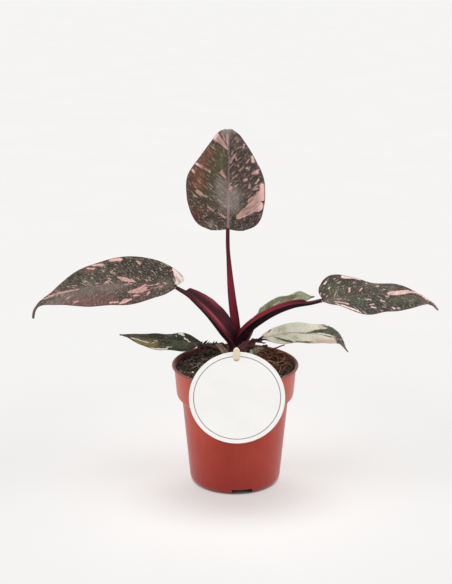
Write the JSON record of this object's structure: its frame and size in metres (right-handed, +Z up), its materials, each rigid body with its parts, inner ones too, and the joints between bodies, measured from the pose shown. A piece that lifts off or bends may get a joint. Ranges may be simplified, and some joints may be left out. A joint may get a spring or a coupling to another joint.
{
  "type": "potted philodendron",
  "caption": "Young variegated climbing plant with pointed pink and dark green leaves, in a round plastic nursery pot with a round label on a stick.",
  "frame": {"origin": "centre of the pot's flat foot, on the surface that it stands on", "axes": "+Z up, +X to the right along the spread of the leaves, -Y towards the side that the label hangs on"},
  "size_m": [0.3722, 0.1332, 0.3305],
  "materials": {
    "stem": "satin",
    "petiole": "satin",
    "blade": "satin",
    "blade_green": "satin",
    "blade_pale": "satin",
    "sheath": "matte",
    "twig": "matte",
    "label": "satin",
    "stick": "matte",
    "soil": "matte",
    "pot": "satin"
  },
  "bodies": {
    "root": {"stem": "stem", "petiole_right": "petiole", "petiole_left": "petiole", "petiole_top": "petiole", "petiole_back": "petiole", "petiole_low_left": "petiole", "petiole_low_right": "petiole", "blade_top": "blade", "blade_left": "blade", "blade_right": "blade", "blade_low_left": "blade_green", "blade_low_right": "blade_pale", "blade_back": "blade_green", "sheath_right": "sheath", "sheath_green": "sheath", "sheath_left": "sheath", "dry_twig": "twig", "label_disc": "label", "label_stick": "stick", "soil": "soil", "pot": "pot"}
  },
  "joints": []
}
